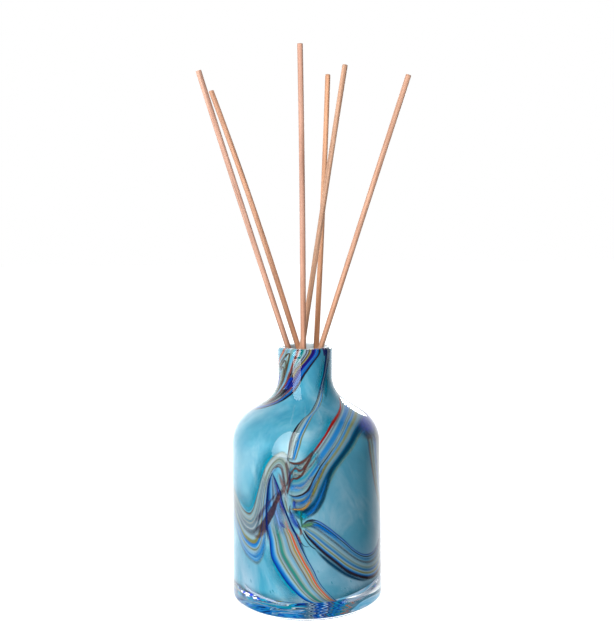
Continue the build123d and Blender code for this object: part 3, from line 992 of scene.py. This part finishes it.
def foot_collar():
    """A milky collar in the clear foot."""
    milk = soft_glass("glass_foot_collar", (0.34, 0.41, 0.50), 0.65, 0.4)
    band("foot_collar_right", [(24, 9.2), (40, 10.2), (58, 12.2), (76, 14.5), (95, 15)],
         [(24, 7.6), (40, 6.4), (58, 6.6), (76, 7.5), (95, 8)], milk, 1, (0.15, 0.1), 12, 0.8, in_foot)
    band("foot_collar_left", [(-18, 9.2), (-30, 10.4), (-45, 12), (-58, 14)],
         [(-18, 8), (-30, 8.6), (-45, 9.6), (-58, 11.6)], milk, 1, (0.2, 0.2), 12, 0.8, in_foot)


def foot_chips():
    """Chips of colour caught in the foot under the coloured layer: (angle, height, length, width) of each."""
    chips = {
        "royal": ((0.01, 0.05, 0.55), [(-55, 8.6, 5, 1.3), (-46, 9.3, 6, 1.5), (-39, 8.6, 4, 1.0),
                                       (62, 9.6, 4, 0.8)]),
        "white": ((0.85, 0.88, 0.95), [(-51, 8.0, 5, 1.2), (-42, 8.3, 6, 1.0), (66, 11.3, 6, 1.2)]),
        "navy": ((0.01, 0.02, 0.08), [(-50, 10.0, 9, 0.5), (-41, 9.2, 8, 0.5), (-58, 7.6, 6, 0.5),
                                      (58, 9.4, 7, 0.5)]),
        "teal": ((0.0, 0.24, 0.34), [(-34, 8.6, 7, 0.9), (-62, 6.4, 7, 1.2), (60, 10.4, 8, 0.9),
                                     (-48, 6.9, 8, 0.9)]),
    }
    # A chip's own line: share of its length, rise above its place, share of its width
    shape = ((-1 / 2, 0.5, 0.2), (-1 / 6, -0.3, 1.0), (1 / 6, 0.3, 0.9), (1 / 2, -0.5, 0.2))
    for kind, (colour, places) in chips.items():
        glass = soft_glass(f"glass_chip_{kind}", colour, 1, 0.15)
        for number, (angle, height, long, wide) in enumerate(places, 1):
            upper, lower = ([(angle + long * way, height + rise + side * share * wide / 2)
                             for way, rise, share in shape] for side in (1, -1))
            band(f"foot_chip_{kind}_{number}", upper, lower, glass, 3, (0, 0), 6, 0.3, in_foot)


def teal_fringes():
    """Where the bands were pulled, the ground beside them is thicker and deeper in colour."""
    stripes = [(0, TEAL, 0), (0.5, TEAL, 0.35), (0.9, TEAL, 0.8), (1, TEAL, 0.8)]
    glass = band_glass("glass_fringe", stripes, 0.2)
    fringes = {
        "centre": ([(-37, 34), (-32, 26), (-26, 17), (-17, 9), (-8, 4)],
                   [(-29, 38), (-24, 27.5), (-17, 21), (-9, 15), (0, 9)]),
        "valley": ([(-72, 67), (-62, 63), (-51, 64), (-46, 72), (-38, 83)],
                   [(-76, 61), (-60, 55), (-50, 52.5), (-43, 58), (-34, 75)]),
        "arch": ([(-46, 72), (-38, 84), (-28, 90), (-18, 92)],
                 [(-39, 66), (-32, 78), (-25, 84), (-18, 86)]),
        "red": ([(34, 106), (20, 101), (8, 95), (-2, 88), (-9, 84)],
                [(36, 99.5), (25, 97), (14, 91.5), (4, 85.5), (-6, 81.5)]),
        "ribbon": ([(36, 128), (30, 122), (24, 116.5), (16, 111)],
                   [(58, 130), (48, 122.5), (39, 116.8), (29, 111.5)]),
        "foot": ([(90, 20), (60, 15), (40, 15), (24, 17)],
                 [(90, 13), (62, 10), (42, 9.5), (26, 10)]),
    }
    for name, (outer, inner) in fringes.items():
        band(f"fringe_{name}", outer, inner, glass, 0, (0.25, 0.25), 12, 1.2)


# ---- oil and reeds

def fragrance_oil():
    """The oil's body, with its surface climbing a little at the glass."""
    gap, rise = 0.05, 1.0
    surface = oil_level - rise
    glass_wall, glass_base = casing_wall + liner_wall, casing_base + liner_base
    cavity = skin_line(glass_wall + gap, glass_base + gap, cavity_round, liner_top)
    inside = [point for point in cavity if point[1] < surface]
    wall = foot_radius - glass_wall - 0.45
    rim = [(wall, oil_level - 0.8), (wall - 0.15, oil_level), (wall - 1.2, oil_level - 0.7),
           (wall - 3, surface)]
    verts, faces = lathe(evenly(inside + rim + [(0, surface)], 2.5), 96)
    piece = new_object("fragrance_oil_liquid", verts, faces, oil_liquid(), "bottle")
    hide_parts("fragrance_oil")


def reed_line(name):
    """Foot and tip of a reed's axis, from its CAD box and its joint's axis, in millimetres."""
    joint = next(j for j in frame["record"]["behaviour"]["joints"] if j["child"] == name)
    along = np.array(joint["axis"])
    low, high = (np.array(corner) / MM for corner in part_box(name))
    reach = reed_radius * np.sqrt(1 - along ** 2)
    foot = np.where(along > 0, low + reach, high - reach)
    tip = np.where(along > 0, high - reach, low + reach)
    return foot, tip


def reed_points(foot, tip, bow, seed):
    """Rings of points along a reed with fibre ridges, a slight bow, and thickness changes."""
    length = np.linalg.norm(tip - foot)
    along = (tip - foot) / length
    side = np.cross(along, (0, 1, 0))
    side /= np.linalg.norm(side)
    depth = np.cross(along, side)
    rng = np.random.default_rng(seed)
    turn = np.linspace(0, 2 * np.pi, reed_around, endpoint=False)
    ridges = sum(rng.uniform(0.3, 1.0) * np.sin(k * turn + rng.uniform(0, 6.3)) for k in (3, 5, 8, 11, 14))
    ridges /= np.abs(ridges).max()
    highest = 27 / 4              # brings share ** 2 * (1 - share) up to 1 at its highest
    rings = []
    for share in np.linspace(0, 1, reed_rows):
        worn_end = 0.03 * max(0, abs(share - 0.5) - 0.498) / 0.002
        thick = reed_radius * (0.985 + 0.012 * math.sin(9 * share + seed) - worn_end)
        radius = thick * (1 + 0.010 * (ridges - 1) * (1 + 0.3 * math.sin(31 * share + seed)))
        centre = foot + along * length * share + side * bow * highest * share ** 2 * (1 - share)
        angle = turn + 0.5 * share
        ring = np.outer(radius * np.cos(angle), side) + np.outer(radius * np.sin(angle), depth)
        rings.append(centre + ring)
    return np.concatenate(rings)


def reed_end(verts, first, inward):
    """The points with those of a cut end added, dished a little, and the end's faces as the tip has them."""
    dish, inner_share = 0.12, 0.45
    ring = verts[first:first + reed_around]
    middle = ring.mean(axis=0) + inward * dish
    start = len(verts)
    faces = []
    for j in range(reed_around):
        k = (j + 1) % reed_around
        faces += [(first + j, first + k, start + k, start + j), (start + j, start + k, start + reed_around)]
    return np.vstack([verts, ring * inner_share + middle * (1 - inner_share), middle]), faces


def reed(name, tint, bow, cut_end, seed):
    """A reed with cut ends; its colour runs along it in centimetres."""
    foot, tip = reed_line(name)
    length = np.linalg.norm(tip - foot)
    along = (tip - foot) / length
    verts = reed_points(foot, tip, bow, seed)
    sides = [(i * reed_around + j, i * reed_around + (j + 1) % reed_around,
              (i + 1) * reed_around + (j + 1) % reed_around, (i + 1) * reed_around + j)
             for i in range(reed_rows - 1) for j in range(reed_around)]
    verts, foot_faces = reed_end(verts, 0, along)
    verts, tip_faces = reed_end(verts, (reed_rows - 1) * reed_around, -along)
    faces = sides + [face[::-1] for face in foot_faces] + tip_faces
    piece = new_object(f"{name}_rattan", verts, faces, rattan(f"rattan_{name}", tint), name)
    piece.data.materials.append(cut_end)
    uv = piece.data.uv_layers.new(name="UVMap")
    for face in piece.data.polygons:
        if face.index >= len(sides):
            face.material_index = 1
            continue
        row, column = divmod(face.index, reed_around)
        corners = ((column, row), (column + 1, row), (column + 1, row + 1), (column, row + 1))
        for loop, (a, b) in zip(face.loop_indices, corners):
            uv.data[loop].uv = (a / reed_around + seed, b / (reed_rows - 1) * length / 10)
    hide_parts(name)


def reeds():
    """Six reeds, each with its own colour and bow in millimetres."""
    looks = {
        "reed_1": ((0.53, 0.315, 0.235), 0.5),
        "reed_2": ((0.53, 0.300, 0.195), -1.9),
        "reed_3": ((0.49, 0.280, 0.205), -0.5),
        "reed_4": ((0.60, 0.330, 0.200), -0.5),
        "reed_5": ((0.56, 0.345, 0.235), 0.3),
        "reed_6": ((0.53, 0.310, 0.215), 0.1),
    }
    cut_end = rattan_end()
    for number, name in enumerate(reed_names, 1):
        reed(name, *looks[name], cut_end, number)


# ---- stage

def table():
    """A wide pale floor just under the bottle."""
    reach, gap = 6.0, 0.0002
    mesh = bpy.data.meshes.new("floor")
    corners = [(-reach, -reach, 0), (reach, -reach, 0), (reach, reach, 0), (-reach, reach, 0)]
    mesh.from_pydata(corners, [], [(0, 1, 2, 3)])
    mesh.materials.append(floor_white())
    floor = bpy.data.objects.new("floor", mesh)
    floor.location.z = -gap
    bpy.context.scene.collection.objects.link(floor)
    floor.visible_glossy = False


def studio():
    """A white backdrop for the eye, brightest behind the bottle and dim in front of it for reflections."""
    world = bpy.data.worlds.new("studio")
    bpy.context.scene.world = world
    world.use_nodes = True
    world.cycles_visibility.diffuse = False
    tree = world.node_tree
    x, y, z = split(tree, node(tree, "ShaderNodeTexCoord", {}).outputs["Generated"])
    lean = maths(tree, "ADD", y, times(tree, x, -0.18))
    lean = maths(tree, "ADD", lean, times(tree, z, -0.2))
    behind = fit(tree, lean, 0.1, 0.97, 0.05, 2.0)
    seen = node(tree, "ShaderNodeLightPath", {}).outputs["Is Camera Ray"]
    feed(tree.nodes["Background"], {0: (1, 1, 1, 1), 1: mix(tree, seen, behind, (1, 1, 1))})


def softbox(name, azimuth, distance, bottom, size, watts, mirrored=True):
    """An upright soft light facing the bottle, standing at a distance, its azimuth growing to the right."""
    light = bpy.data.lights.new(name, "AREA")
    light.shape = "RECTANGLE"
    light.size, light.size_y = size
    light.energy = watts
    holder = bpy.data.objects.new(name, light)
    turn = math.radians(azimuth)
    place = Vector((math.sin(turn) * distance, -math.cos(turn) * distance, bottom + size[1] / 2))
    holder.location = place
    # A light that stands on the table faces straight across it; a raised one looks down at the bottle.
    aim = Vector((0, 0, place.z if bottom < 0.2 else 0.1))
    holder.rotation_euler = (place - aim).to_track_quat("Z", "Y").to_euler()
    holder.visible_camera = False
    holder.visible_glossy = mirrored
    bpy.context.scene.collection.objects.link(holder)


def camera():
    """In front of the reeds, looking slightly down, as a 50 mm lens sees the whole diffuser."""
    data = bpy.data.cameras.new("camera")
    data.lens = 50
    data.sensor_width = 36
    data.sensor_fit = "AUTO"
    holder = bpy.data.objects.new("camera", data)
    place = (0.0013, -0.4633, 0.1929)
    pitch, roll = math.radians(4.9), math.radians(-0.6)
    view = Matrix.Rotation(math.pi / 2 - pitch, 4, "X") @ Matrix.Rotation(roll, 4, "Z")
    holder.matrix_world = Matrix.Translation(place) @ view
    bpy.context.scene.collection.objects.link(holder)
    bpy.context.scene.camera = holder


camera()
table()
studio()
softbox("window_light", -35, 0.60, 0.01, (0.36, 1.35), 7.0)
softbox("back_window", 158, 0.90, 0.28, (0.14, 0.22), 2.5)
softbox("front_fill", -18, 1.50, 0.30, (1.2, 1.4), 21, mirrored=False)
softbox("back_fill", 150, 1.50, 0.30, (1.2, 1.4), 12, mirrored=False)
bpy.context.scene.view_settings.view_transform = "Standard"

clear_casing(clear_glass())
turquoise_liner(turquoise_glass(), opal_glass())
base_bands()
foot_collar()
foot_chips()
teal_fringes()
neck_bands()
neck_ribbon()
shoulder_bands()
right_bands()
centre_band()
left_band()
knot()
fragrance_oil()
reeds()
